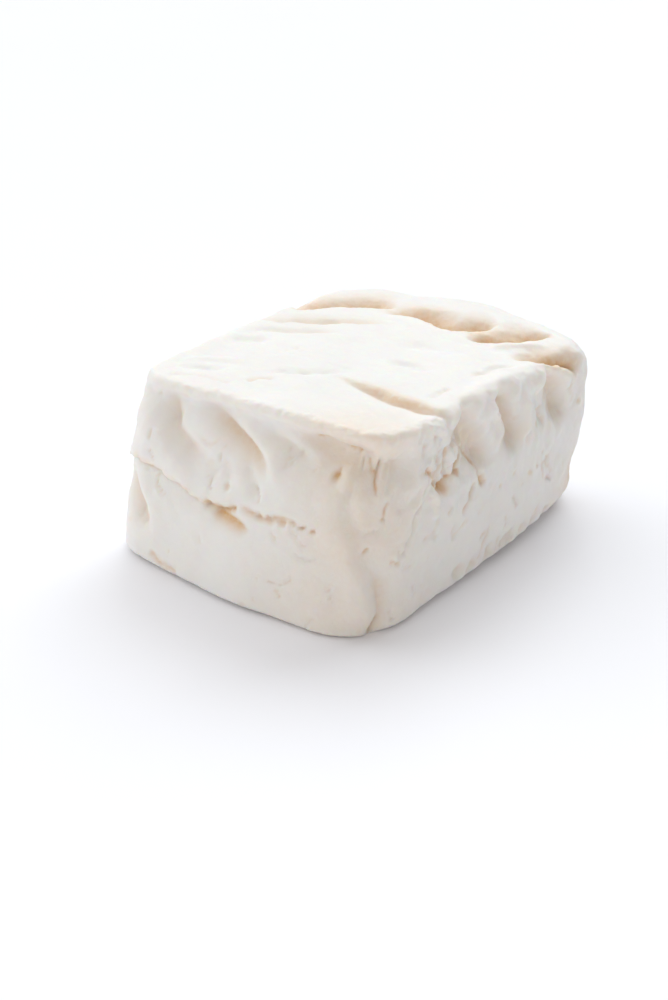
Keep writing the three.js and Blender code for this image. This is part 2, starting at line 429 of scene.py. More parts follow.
def press_front(relief):
    """The hollow under the top edge, the slanting folds, the seam, and the smoother body below."""
    up_right = np.array([0.7, 0, 0.7])

    # the top edge stands out over the face just below it, most of all near the right corner, where a
    # little shade is painted into the hollow
    relief.furrow(
        front(-0.95, 0.9), front(0, 0.92), front(0.95, 0.88),
        depth=1.4, width=4.0, other=1.5, toward=DOWN, ends=(0.05, 0.05),
    )
    relief.furrow(
        front(0.2, 0.9), front(0.6, 0.87), place(0.88, -0.94, 0.84), right(-0.7, 0.86),
        depth=4.0, width=6.0, other=2.6, toward=DOWN, power=1.7, painted_shade=0.15, ends=(0.4, 0.2),
    )

    # slanting folds: most go in gently from the lower left and come out steeply
    relief.furrow(
        front(-0.9, 0.9), front(-0.65, 0.7), front(-0.45, 0.6), front(-0.2, 0.54),
        depth=-1.5, width=2.4, other=5.0, toward=up_right, ends=(0.12, 0.4),
    )
    relief.furrow(
        front(-0.7, 0.97), front(-0.62, 0.85), front(-0.5, 0.75), front(-0.2, 0.65),
        depth=1.5, width=1.7, other=2.8, toward=up_right, power=1.5, painted_shade=0.3, ends=(0.25, 0.4),
    )
    relief.furrow(
        front(-0.5, 0.97), front(-0.2, 0.88), front(0.12, 0.76), front(0.25, 0.62),
        depth=2.3, width=1.5, other=3.0, toward=up_right, power=1.5, painted_shade=0.55, ends=(0.5, 0.35),
    )
    relief.furrow(
        front(-0.2, 0.92), front(0.1, 0.82), front(0.35, 0.62),
        depth=-0.9, width=2.2, other=1.4, toward=up_right, ends=(0.3, 0.35),
    )
    relief.furrow(
        front(0.05, 0.89), front(0.3, 0.84), front(0.55, 0.73),
        depth=1.4, width=1.6, other=2.6, toward=up_right, power=1.5, painted_shade=0.2, ends=(0.3, 0.4),
    )
    relief.furrow(
        front(0.2, 0.9), front(0.42, 0.85), front(0.58, 0.78),
        depth=-0.5, width=1.3, ends=(0.3, 0.3),
    )
    relief.furrow(
        front(-0.02, 0.74), front(0.12, 0.64), front(0.18, 0.54),
        depth=0.7, width=1.4, other=2.4, toward=up_right, painted_shade=0.1,
    )
    relief.furrow(
        front(-0.15, 0.71), front(-0.09, 0.66), front(-0.04, 0.6),
        depth=0.7, width=1.5, painted_shade=0.1,
    )
    relief.furrow(
        front(-0.27, 0.7), front(-0.21, 0.64), front(-0.14, 0.61),
        depth=0.6, width=1.6, painted_shade=0.1,
    )
    relief.pit(front(-0.6, 0.81), radius=1.5, depth=0.7, painted_shade=0.2, stretch=(1.3, 1, 1))
    relief.swell(front(0.57, 0.83), radius=4, height=0.6)

    # the seam: the upper part laps over, and the lower part starts further in; shade is painted into
    # its crack and along the drop below it
    relief.ledge(
        left(-0.2, 0.5), left(-0.85, 0.54), place(-0.97, -0.97, 0.55), front(-0.8, 0.57),
        front(-0.55, 0.53), front(-0.2, 0.47), front(0.1, 0.52),
        depth=1.7, reach=3.0, toward=DOWN, painted_shade=0.5, ends=(0.2, 0.15),
    )
    relief.crack(
        front(-0.22, 0.47), front(-0.05, 0.475), front(0.05, 0.505),
        depth=1.0, width=0.9, painted_shade=1,
    )
    relief.furrow(
        front(-0.16, 0.465), front(0, 0.44), front(0.17, 0.4),
        depth=1.1, width=1.6, other=0.9, toward=DOWN, power=1.5, painted_shade=1, ends=(0.2, 0.35),
    )
    relief.crack(
        front(0.05, 0.515), front(0.28, 0.49), front(0.37, 0.52), front(0.58, 0.49),
        depth=0.6, width=0.6, painted_shade=0.6,
    )
    for across in np.linspace(0.2, 0.6, 6):
        relief.pit(front(across, 0.5), radius=0.65, depth=0.6, painted_shade=0.7, stretch=(1.2, 1, 1))

    # the ear at the left, and marks on the body
    relief.furrow(
        front(-0.93, 0.51), front(-0.79, 0.365), front(-0.63, 0.18),
        depth=1.9, width=3.2, other=1.1, toward=LEFT, power=1.5, painted_shade=0.35, ends=(0.12, 0.3),
    )
    relief.crack(
        front(-0.64, 0.09), front(-0.5, 0.05), front(-0.36, 0.045),
        depth=0.7, width=0.7, painted_shade=0.5,
    )
    relief.crack(front(0.39, 0.175), front(0.44, 0.135), depth=0.4, width=0.45, painted_shade=0.45)
    relief.crack(
        front(0.5, 0.375), front(0.57, 0.36), front(0.64, 0.365),
        depth=0.45, width=0.5, painted_shade=0.15,
    )
    relief.crack(
        front(0.3, 0.435), front(0.35, 0.405), front(0.36, 0.38),
        depth=0.5, width=0.5, painted_shade=0.2,
    )
    relief.pit(front(-0.07, 0.59), radius=0.7, depth=0.6, painted_shade=0.5)
    relief.pit(front(-0.2, 0.28), radius=0.9, depth=0.3, painted_shade=0.1)
    relief.swell(front(0.35, 0.08), radius=6, height=-0.5)

    # the oval hole with its raised rim, and the fine split that runs to the corner
    relief.furrow(front(0.7, 0.83), front(0.74, 0.76), front(0.7, 0.69), depth=-0.7, width=1.2)
    relief.pit(front(0.645, 0.765), radius=1.0, depth=0.9, painted_shade=1, stretch=(1, 1, 1.6))
    relief.crack(
        front(0.46, 0.93), front(0.7, 0.89), front(0.85, 0.835), front(0.9, 0.785),
        depth=0.6, width=0.5, painted_shade=1, ends=(0.05, 0.1),
    )
    relief.pit(front(0.485, 0.925), radius=0.5, depth=0.5, painted_shade=1, stretch=(2.2, 1, 0.8))


def press_near_corner(relief):
    """The corner between the front and the right face: a lobe of the front laps round it, with a
    groove beside it. Shade is painted over the corner in a darker warm colour, most under its top
    edge."""
    relief.shade_patch(front(0.8, 0.85), radius=13, painted_shade=0.28)
    relief.shade_patch(place(0.85, -0.95, 0.5), radius=13, painted_shade=0.24)
    relief.shade_patch(place(0.8, -0.95, 0.1), radius=17, painted_shade=0.18)
    round_corner = np.array([0.7, 0.7, 0])
    relief.crack(
        place(0.86, -0.96, 0.84), place(0.89, -0.94, 0.81), place(0.91, -0.92, 0.76),
        place(0.92, -0.92, 0.71),
        depth=0.6, width=0.5, painted_shade=0.9,
    )
    relief.crack(place(0.94, -0.9, 0.85), place(0.91, -0.92, 0.77), depth=0.8, width=0.45, painted_shade=0.7)
    relief.furrow(
        place(0.74, -0.99, 0.76), place(0.78, -0.99, 0.64), place(0.83, -0.97, 0.5),
        depth=0.8, width=1.6, other=2.4, toward=round_corner, painted_shade=0.1,
    )
    relief.furrow(
        place(0.72, -0.99, 0.6), place(0.8, -0.97, 0.42), place(0.87, -0.93, 0.24),
        place(0.89, -0.91, 0.06),
        depth=-1.1, width=2.0, other=3.0, toward=round_corner, ends=(0.25, 0.15),
    )
    relief.furrow(
        place(0.82, -0.97, 0.54), place(0.88, -0.93, 0.38), place(0.94, -0.87, 0.22),
        place(0.955, -0.85, 0.12), place(0.92, -0.88, 0),
        depth=1.4, width=3.6, other=1.0, toward=round_corner, power=1.4, painted_shade=0.35,
        ends=(0.6, 0.04),
    )
    relief.crack(
        place(0.955, -0.85, 0.16), place(0.94, -0.86, 0.07), place(0.91, -0.87, 0),
        depth=0.8, width=0.6, painted_shade=0.6, ends=(0.5, 0.04),
    )
    relief.pit(place(0.885, -0.93, 0.44), radius=0.7, depth=0.6, painted_shade=0.8)


def press_right(relief):
    """The right face: dents that run down from its top edge, a torn patch and a few splits, with
    shade painted into the dents, splits and holes.
    """
    relief.furrow(
        right(-0.4, 0.98), right(-0.3, 0.86), right(-0.18, 0.7), right(-0.1, 0.58),
        depth=3.4, width=4.6, other=2.2, toward=NEAR, power=1.8, painted_shade=0.35, ends=(0.12, 0.3),
    )
    relief.furrow(
        right(-0.06, 0.98), right(0.05, 0.84), right(0.1, 0.7), right(0.1, 0.58),
        depth=3.6, width=4.0, other=1.8, toward=NEAR, power=1.7, painted_shade=0.4, ends=(0.1, 0.25),
    )
    relief.furrow(
        right(0.17, 0.92), right(0.18, 0.8), right(0.15, 0.56),
        depth=-2.0, width=1.0, ends=(0.2, 0.4),
    )
    relief.furrow(
        right(0.22, 0.86), right(0.24, 0.72), right(0.23, 0.58),
        depth=-0.9, width=0.8, ends=(0.2, 0.4),
    )
    relief.furrow(
        right(0.26, 0.92), right(0.34, 0.8), right(0.4, 0.62),
        depth=1.3, width=2.6, other=1.3, toward=NEAR, power=1.6,
    )
    relief.furrow(
        right(0.4, 0.96), right(0.52, 0.82), right(0.64, 0.6),
        depth=3.6, width=4.4, other=2.0, toward=NEAR, power=1.7, painted_shade=0.35, ends=(0.12, 0.3),
    )
    relief.furrow(
        right(-0.16, 0.95), right(-0.06, 0.82), right(-0.01, 0.68),
        depth=-1.8, width=1.0, ends=(0.2, 0.4),
    )
    relief.furrow(right(-0.66, 0.98), right(-0.56, 0.92), right(-0.47, 0.84), depth=-0.9, width=0.8)
    relief.furrow(right(0.46, 0.7), right(0.47, 0.5), depth=-0.7, width=1.8)
    relief.swell(place(0.97, 0.9, 0.22), radius=9, height=-2.4)
    # painted shade: the far lower corner, where the surface curves under, is painted darker and
    # warmer
    relief.shade_patch(place(0.97, 0.85, 0.2), radius=8, painted_shade=0.35)
    for along, up in (
        (0.06, 0.74), (0.33, 0.69), (0.32, 0.45), (0.37, 0.51), (-0.6, 0.89), (0.74, 0.7),
        (0.1, 0.5), (-0.02, 0.47), (0.24, 0.44),
    ):
        relief.pit(right(along, up), radius=0.6, depth=0.45, painted_shade=0.35)

    # the torn patch: flakes with splits between them, over a deep hole
    relief.swell(right(-0.4, 0.7), radius=7, height=-0.5)
    for along, up, length, tall, height in (
        (-0.58, 0.82, 2.4, 2.4, 0.5), (-0.48, 0.84, 1.5, 1.6, 0.3), (-0.53, 0.71, 2.0, 1.8, 0.6),
        (-0.4, 0.75, 1.7, 2.4, 0.8), (-0.3, 0.73, 1.1, 2.8, 0.6), (-0.23, 0.62, 1.4, 2.2, 0.6),
        (-0.33, 0.57, 1.5, 1.4, 0.5), (-0.42, 0.54, 1.2, 1.5, 0.4), (-0.28, 0.84, 1.3, 1.4, 0.3),
    ):
        relief.flake(right(along, up), size=(4, length, tall), height=height)
    for path in (
        [right(-0.66, 0.77), right(-0.56, 0.67), right(-0.48, 0.58)],
        [right(-0.47, 0.6), right(-0.42, 0.65), right(-0.33, 0.65)],
        [right(-0.46, 0.82), right(-0.47, 0.74), right(-0.45, 0.66)],
        [right(-0.35, 0.8), right(-0.33, 0.72), right(-0.37, 0.65)],
        [right(-0.26, 0.78), right(-0.25, 0.69), right(-0.16, 0.52)],
    ):
        relief.crack(*path, depth=0.9, width=0.5, painted_shade=0.9)
    relief.pit(right(-0.47, 0.62), radius=1.2, depth=1.5, painted_shade=1, stretch=(1, 1.2, 1.2))
    relief.pit(right(-0.17, 0.55), radius=0.8, depth=0.8, painted_shade=0.9, stretch=(1, 1, 1.4))
    relief.crack(
        right(-0.24, 0.56), right(-0.28, 0.49), right(-0.33, 0.42),
        depth=0.8, width=0.5, painted_shade=0.5,
    )
    relief.pit(right(-0.65, 0.76), radius=0.7, depth=0.8, painted_shade=0.9)

    # the long split, with a lapping edge at its top and a thin sliver beside it
    relief.ledge(
        right(-0.65, 0.76), right(-0.67, 0.66), right(-0.7, 0.56),
        depth=1.1, reach=2.2, toward=FAR, lip=0.5,
    )
    relief.crack(
        right(-0.62, 0.72), right(-0.68, 0.6), right(-0.74, 0.45), right(-0.79, 0.34),
        depth=1.0, width=0.42, painted_shade=0.2, ends=(0.05, 0.2),
    )
    relief.pit(right(-0.69, 0.6), radius=0.7, depth=0.8, painted_shade=0.6)
    relief.furrow(right(-0.6, 0.66), right(-0.56, 0.57), right(-0.57, 0.46), depth=-2.2, width=0.8)

    # small splits and nicks
    for path, painted_shade in (
        ([place(0.93, -0.9, 0.58), place(0.95, -0.88, 0.64), place(0.965, -0.86, 0.665)], 0.6),
        ([place(0.97, -0.84, 0.66), place(0.99, -0.8, 0.6)], 0.5),
        ([right(-0.62, 0.4), right(-0.57, 0.42), right(-0.52, 0.46)], 0.4),
        ([right(-0.57, 0.42), right(-0.53, 0.38)], 0.3),
        ([right(-0.08, 0.27), right(-0.11, 0.2), right(-0.15, 0.1)], 0.35),
        ([right(-0.17, 0.24), right(-0.12, 0.23)], 0.3),
        ([right(0.0, 0.17), right(0.02, 0.07)], 0.3),
        ([place(0.97, -0.84, 0.37), right(-0.78, 0.345)], 0.5),
        ([right(-0.75, 0.31), right(-0.69, 0.29)], 0.5),
        ([right(-0.8, 0.42), right(-0.78, 0.38)], 0.3),
        ([right(-0.82, 0.3), right(-0.86, 0.2), place(0.96, -0.86, 0.12)], 0.3),
        ([right(-0.4, 0.4), right(-0.38, 0.3)], 0.15),
        ([right(0.12, 0.36), right(0.16, 0.28)], 0.2),
        ([right(0.42, 0.34), right(0.5, 0.3)], 0.2),
    ):
        relief.crack(*path, depth=0.65, width=0.5, painted_shade=painted_shade)
    for along in (-0.3, -0.2, -0.06, 0.07, 0.13, 0.24, 0.36, 0.5):
        relief.pit(right(along, 0.1), radius=1.5, depth=1.3, painted_shade=0.2, stretch=(1, 1, 1.2))


def press_top(relief):
    """The top: one long step across it, folds towards the back, and fine creases."""
    relief.ledge(
        top(0, -0.43), top(0.34, -0.46), top(0.6, -0.5), top(0.84, -0.52), place(0.98, -0.5, 0.98),
        right(-0.47, 0.9),
        depth=2.0, reach=4.0, toward=NEAR, fall=1.0, lip=0.2, painted_shade=0.6, ends=(0.5, 0.3),
    )
    relief.furrow(
        top(-0.32, -0.66), top(0, -0.44), top(0.16, -0.26),
        depth=1.0, width=1.3, other=2.4, toward=NEAR, power=1.5, torn=True,
    )
    relief.pit(top(-0.01, -0.44), radius=0.45, depth=0.4, painted_shade=0.3)
    relief.crack(
        top(-0.27, -0.79), top(-0.2, -0.72), top(-0.15, -0.68),
        depth=0.45, width=0.7, painted_shade=0.3,
    )

    # the folds at the back: each has a steep near flank and a gentle far one, and shade is painted
    # into it in a darker warm colour
    relief.furrow(
        top(-0.9, 0.25), top(-0.75, 0.45), top(-0.55, 0.6), top(-0.32, 0.7),
        depth=3.4, width=0.9, other=4.0, toward=NEAR, power=1.5, painted_shade=1, ends=(0.25, 0.25),
        torn=True,
    )
    relief.furrow(
        top(-0.42, 0.6), top(-0.1, 0.6), top(0.2, 0.56), top(0.44, 0.74),
        depth=3.0, width=0.9, other=3.4, toward=NEAR, power=1.5, painted_shade=1, ends=(0.3, 0.2), torn=True,
    )
    relief.furrow(
        top(-0.3, 0.72), top(-0.12, 0.7), top(0.04, 0.68),
        depth=-0.8, width=1.3, ends=(0.4, 0.4),
    )
    relief.furrow(
        top(0.34, 0.46), top(0.48, 0.53), top(0.62, 0.65), top(0.72, 0.84),
        depth=3.4, width=1.1, other=3.8, toward=NEAR, power=1.6, painted_shade=1, ends=(0.2, 0.2), torn=True,
    )
    relief.furrow(
        top(0.5, 0.44), top(0.68, 0.5), top(0.84, 0.66),
        depth=-0.9, width=1.4, ends=(0.3, 0.3),
    )
    relief.furrow(
        top(0.72, 0.36), top(0.84, 0.4), top(0.93, 0.47), place(0.99, 0.6, 0.94), right(0.74, 0.86),
        depth=2.8, width=0.9, other=3.0, toward=NEAR, power=1.5, painted_shade=1, ends=(0.3, 0.2), torn=True,
    )
    relief.furrow(
        top(-0.95, -0.02), top(-0.6, 0.2), top(-0.2, 0.44),
        depth=1.2, width=1.0, other=2.2, toward=NEAR, power=1.5, painted_shade=0.4, torn=True,
    )
    relief.furrow(
        top(-0.97, -0.2), top(-0.6, 0), top(-0.3, 0.18),
        depth=0.8, width=1.6, other=1.6, toward=NEAR, power=1.6, painted_shade=0.15,
    )
    relief.furrow(top(-0.9, -0.38), top(-0.76, -0.28), top(-0.62, -0.2), depth=0.7, width=1.8)
    relief.furrow(top(0.06, 0.16), top(0.3, 0.24), top(0.5, 0.22), depth=0.7, width=2.6)
    relief.furrow(
        top(0.16, -0.1), top(0.36, -0.06), top(0.52, -0.12),
        depth=0.9, width=1.4, other=2.0, toward=NEAR,
    )

    # the crest along the right edge, and the creases that cross it
    relief.furrow(top(0.93, -0.38), top(0.94, -0.1), top(0.93, 0.22), depth=-0.7, width=2.4)
    relief.crack(
        top(0.74, -0.02), top(0.8, 0.08), top(0.79, 0.18), top(0.86, 0.28),
        depth=0.7, width=0.8, painted_shade=0.1,
    )
    relief.crack(top(0.77, -0.42), top(0.79, -0.25), depth=0.7, width=0.7, painted_shade=0.1)

    # a shallow dimple with pinholes, and the wrapper's fine creases near the left corner
    relief.swell(top(-0.39, -0.28), radius=3.5, height=-0.35)
    for across, along in (
        (-0.43, -0.29), (-0.4, -0.24), (-0.36, -0.31), (-0.34, -0.26),
        (-0.85, -0.88), (-0.74, -0.94), (0.66, -0.79), (0.41, -0.72), (0.6, -0.88),
    ):
        relief.pit(top(across, along), radius=0.4, depth=0.35, painted_shade=0.15)
    relief.furrow(top(-0.84, -0.84), top(-0.7, -0.76), top(-0.5, -0.68), depth=0.7, width=1.2)
    relief.furrow(top(-0.9, -0.7), top(-0.66, -0.6), top(-0.4, -0.56), depth=-0.5, width=1.2)
    relief.crack(
        top(-0.8, -0.93), top(-0.55, -0.86), top(-0.3, -0.88),
        depth=0.4, width=0.7, painted_shade=0.1,
    )


def press_left(relief):
    """The left face, with folds of the same kind."""
    relief.furrow(
        left(-0.72, 0.96), left(-0.62, 0.78), left(-0.44, 0.6),
        depth=2.2, width=3.2, other=1.6, toward=DOWN, painted_shade=0.4,
    )
    relief.furrow(
        left(-0.3, 0.95), left(-0.16, 0.76), left(0.02, 0.62), left(0.1, 0.46),
        depth=2.4, width=3.0, other=1.7, toward=DOWN, painted_shade=0.4,
    )
    relief.furrow(
        left(0.3, 0.92), left(0.42, 0.74), left(0.62, 0.56),
        depth=2.0, width=2.8, other=1.5, toward=DOWN, painted_shade=0.4,
    )
    relief.furrow(left(0.7, 0.9), left(0.74, 0.66), left(0.86, 0.4), depth=1.4, width=2.2, painted_shade=0.3)
    relief.ledge(
        left(0.24, 0.34), left(0.5, 0.38), left(0.78, 0.33),
        depth=1.0, reach=2.6, toward=DOWN, painted_shade=0.4,
    )
    relief.crack(left(-0.4, 0.3), left(-0.3, 0.24), left(-0.26, 0.16), depth=0.5, painted_shade=0.3)
    relief.pit(left(0.02, 0.5), radius=0.9, depth=0.9, painted_shade=0.9, stretch=(1, 1.4, 1))
    relief.pit(left(0.62, 0.7), radius=0.6, depth=0.5, painted_shade=0.6)


def press_back(relief):
    """The back face, with folds of the same kind."""
    relief.furrow(
        back(0.62, 0.96), back(0.42, 0.78), back(0.2, 0.66), back(0.08, 0.52),
        depth=2.4, width=3.2, other=1.7, toward=DOWN, painted_shade=0.4,
    )
    relief.furrow(
        back(0.16, 0.95), back(-0.12, 0.82), back(-0.34, 0.68),
        depth=2.2, width=2.8, other=1.5, toward=DOWN, painted_shade=0.4,
    )
    relief.furrow(
        back(-0.5, 0.92), back(-0.64, 0.72), back(-0.78, 0.5),
        depth=1.9, width=2.6, other=1.4, toward=DOWN, painted_shade=0.4,
    )
    relief.ledge(
        back(0.85, 0.42), back(0.5, 0.4), back(0.16, 0.36), back(-0.2, 0.38), back(-0.5, 0.36),
        depth=1.2, reach=3.0, toward=DOWN, painted_shade=0.4,
    )
    relief.crack(back(0.7, 0.24), back(0.6, 0.18), depth=0.5, painted_shade=0.35)
    relief.crack(back(-0.3, 0.2), back(-0.22, 0.14), back(-0.1, 0.12), depth=0.5, painted_shade=0.3)
    relief.pit(back(-0.05, 0.55), radius=0.8, depth=0.9, painted_shade=0.9, stretch=(1.4, 1, 1))


def press_crumbs(relief):
    """Rough places: grains where an edge was rubbed, and loose flakes in the torn patch.

    An edge is crumbly by amount * exp(-(gap / width)^2) from its curve. The patch is
    exp(-(gap / patch_size)^4), and in it each random cell is a flake, sunk by its own number, with
    a split where its centre and the next one are equally far.
    """
    points = relief.plain
    # each edge's places, width and amount
    edges = [
        ([front(-0.7, 1), front(0.2, 1), front(0.7, 0.99), place(0.92, -0.95, 1)], 2.2, 1.1),
        ([place(0.9, -0.97, 1), right(-0.75, 0.99), right(-0.5, 0.96)], 2.6, 1.1),
        ([top(0.96, -0.35), top(0.96, 0.0), top(0.96, 0.35)], 2.2, 0.5),
        ([front(0.1, 0.5), front(0.35, 0.47), front(0.66, 0.5)], 2.4, 0.45),
        ([front(-0.9, 0.53), front(-0.5, 0.5), front(0.0, 0.49)], 1.2, 0.7),
        ([right(-0.86, 0.36), right(-0.7, 0.38)], 2.5, 0.4),
        ([right(-0.25, 0.08), right(0.1, 0.08), right(0.4, 0.1)], 2.5, 0.5),
        ([back(0.7, 0.99), back(0.1, 0.99)], 2.2, 0.6),
        ([left(-0.5, 0.99), left(0.4, 0.99)], 2.0, 0.5),
    ]
    for places, width, amount in edges:
        close, gap, _, fade = relief.near_curve(places, 2.5 * width, points, (0.1, 0.1))
        shape = amount * fade * np.exp(-((gap / width) ** 2))
        relief.crumbly[close] = np.maximum(relief.crumbly[close], shape)

    patch_size = (6, 8.5, 5.5)
    gap = np.linalg.norm((points - right(-0.46, 0.74)) / patch_size, axis=1)
    patch = np.exp(-(gap**4))
    close = np.nonzero(patch > 0.01)[0]
    stretched = relief.ragged[close] * (1, 1, 0.6)
    nearest, second, lot = crumbs(stretched, size=2.6, seed=5)
    split = 1 - eased(0.02, 0.2, second - nearest)
    relief.depth[close] += patch[close] * (0.9 * lot - 0.2 + 0.6 * split)
    # painted shade in the splits between the flakes
    relief.painted_shade[close] = np.maximum(relief.painted_shade[close], patch[close] * split * 0.35 * (lot > 0.4))
    relief.crumbly = np.maximum(relief.crumbly, 0.5 * patch)


def press_texture(relief):
    """The surface's own unevenness: waves, dimples, streaks, mottle, creases and grain.

    Each is gradient noise. The streaks, where the wrapper pulled at the sides, have their places
    sheared and squeezed so that they run down them. The creases on the top are squeezed to run
    across it. The right face is the roughest, and the grain shows only where it is crumbly.
    """
    points = relief.plain
    height = points[:, 2] / HALF[2]
    waves = 0.4 * soft_noise(points, size=17, seed=41) + 0.25 * soft_noise(points, size=8, seed=42)
    dimples = 0.1 * soft_noise(points, size=3.6, seed=43)
    dimples += 0.05 * soft_noise(points, size=1.8, seed=44)
    on_top = eased(0.9, 1, height)
    sheared = points - points[:, 2:] * np.array([0.35, 0.3, 0])
    pulled = soft_noise(sheared * (1, 1, 0.22), size=2.6, seed=45)
    pulled += 0.6 * soft_noise(sheared * (1, 1, 0.25), size=1.4, seed=48)
    on_right = eased(0.85, 0.98, points[:, 0] / HALF[0])
    streaks = pulled * (0.18 + 0.46 * on_right) * eased(-0.3, 0.5, height) * (1 - on_top)
    mottle = (0.1 + 0.14 * on_right) * soft_noise(points, size=2.4, seed=49) * (1 - on_top)
    creases = 0.24 * soft_noise(points * (0.3, 1, 1), size=3.2, seed=50) * on_top
    grain = 0.26 * soft_noise(points, size=1.5, seed=46)
    grain += 0.24 * soft_noise(points, size=1.1, seed=47)
    relief.depth += waves + dimples + streaks + mottle + creases + relief.crumbly * grain


def press_splits(relief):
    """Short fine splits in the sides, with shade painted into them: where one noise crosses zero and
    a broader one is high.
    """
    points = relief.ragged
    valley = 1 - eased(0, 0.09, np.abs(soft_noise(points * (1, 1, 0.6), size=5, seed=61)))
    place_of_split = eased(0.15, 0.45, soft_noise(relief.plain, size=4, seed=62))
    on_side = 1 - eased(0.8, 0.95, relief.plain[:, 2] / HALF[2])
    split = valley * place_of_split * on_side
    relief.depth += 0.4 * split
    relief.painted_shade = np.maximum(relief.painted_shade, 0.25 * split)


def shade_hollows(relief):
    """Deep places are painted darker and warmer as shade, standing in for the light that comes back
    out of them through the cheese.
    """
    relief.painted_shade = np.maximum(relief.painted_shade, 0.3 * eased(0.8, 3.5, relief.depth))


# In this order, because the last one reads the depth that the others made.
PRESSES = [
    press_swells, press_front, press_near_corner, press_right, press_top, press_left, press_back,
    press_crumbs, press_texture, press_splits, shade_hollows,
]


def block_surface():
    """The finished surface: its points in mm, its faces, and its relief.

    A point moves inwards, against the way it faces, by its depth, and then slumps by the mix of the
    corners' slumps.
    """
    share, faces = brick_grid()
    points, facing = rounded(share)
    relief = Relief(points)
    for press in PRESSES:
        press(relief)
    push = -relief.depth[:, None] * facing
    push[:, 2] *= eased(0, FOOT_FADE, points[:, 2] + HALF[2])
    surface = points + push + mixed(points / HALF, "slump")

    # centred on the CAD block, and standing where it stands
    middle = (surface.min(axis=0) + surface.max(axis=0)) / 2
    across, along, _ = (cad_low + cad_high) / 2 - middle
    surface += (across, along, cad_low[2] - surface[:, 2].min())
    return surface, faces, relief


# ---------------------------------------------------------------- the piece


def make_block(material):
    """The one visible piece: the finished surface, with its painted shade and its crumbliness as
    values at its points.
    """
    points, faces, relief = block_surface()
    mesh = bpy.data.meshes.new("fresh_cheese")
    mesh.from_pydata((points * MM).tolist(), [], faces.tolist())
    for name, values in (("painted_shade", relief.painted_shade), ("crumbly", relief.crumbly)):
        layer = mesh.attributes.new(name, "FLOAT", "POINT")
        layer.data.foreach_set("value", values.astype(np.float32))
    mesh.polygons.foreach_set("use_smooth", np.ones(len(faces), bool))
    mesh.materials.append(material)
    block = bpy.data.objects.new("fresh_cheese", mesh)
    bpy.context.scene.collection.objects.link(block)
    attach(block, "root")
    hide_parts(NODE)


# ---------------------------------------------------------------- materials


# The cheese's colours: its two creams, and the darker warm colour that is painted into its creases
# and hollows as shade.
CREAM = (0.865, 0.84, 0.803, 1)
PALE_CREAM = (0.885, 0.868, 0.84, 1)
WARM_SHADE_COLOUR = (0.76, 0.47, 0.2, 1)

# How finely each pattern in it repeats, per metre.
PATCHES = 70.0
FLECKS = 900.0
GRAINS = 900.0
CURDS = 650.0

# How high the grain stands in metres, and how many times higher the curds where it is crumbly.
GRAIN_HEIGHT = 0.0003
CURD_HEIGHT = 2.0

# How far light goes into the cheese in metres, and each colour's share of that.
SCATTER = 0.0028
SCATTER_SHARES = (1.0, 0.62, 0.36)

# The table's two tones.
TABLE_TONES = [(0.925, 0.92, 0.955, 1), (0.94, 0.935, 0.965, 1)]

# The sockets of a Mix node for colours.
MIX_FROM, MIX_TO, MIX_RESULT = 6, 7, 2


class Nodes:
    """A material's node tree, with one call to add a node and its links."""

    def __init__(self, name):
        self.material = bpy.data.materials.new(name)
        self.material.use_nodes = True
        self.tree = self.material.node_tree
        self.shader = self.tree.nodes["Principled BSDF"]

    def add(self, kind, settings=None, **inputs):
        """Adds a node. settings are its own properties, and inputs are its sockets by name, with _
        for a space. A value that is another node's socket is linked."""
        node = self.tree.nodes.new(kind)
        for key, value in (settings or {}).items():
            setattr(node, key, value)
        for key, value in inputs.items():
            socket = node.inputs[key.replace("_", " ")]
            if isinstance(value, bpy.types.NodeSocket):
                self.tree.links.new(value, socket)
            else:
                socket.default_value = value
        return node

    def link(self, source, target):
        self.tree.links.new(source, target)


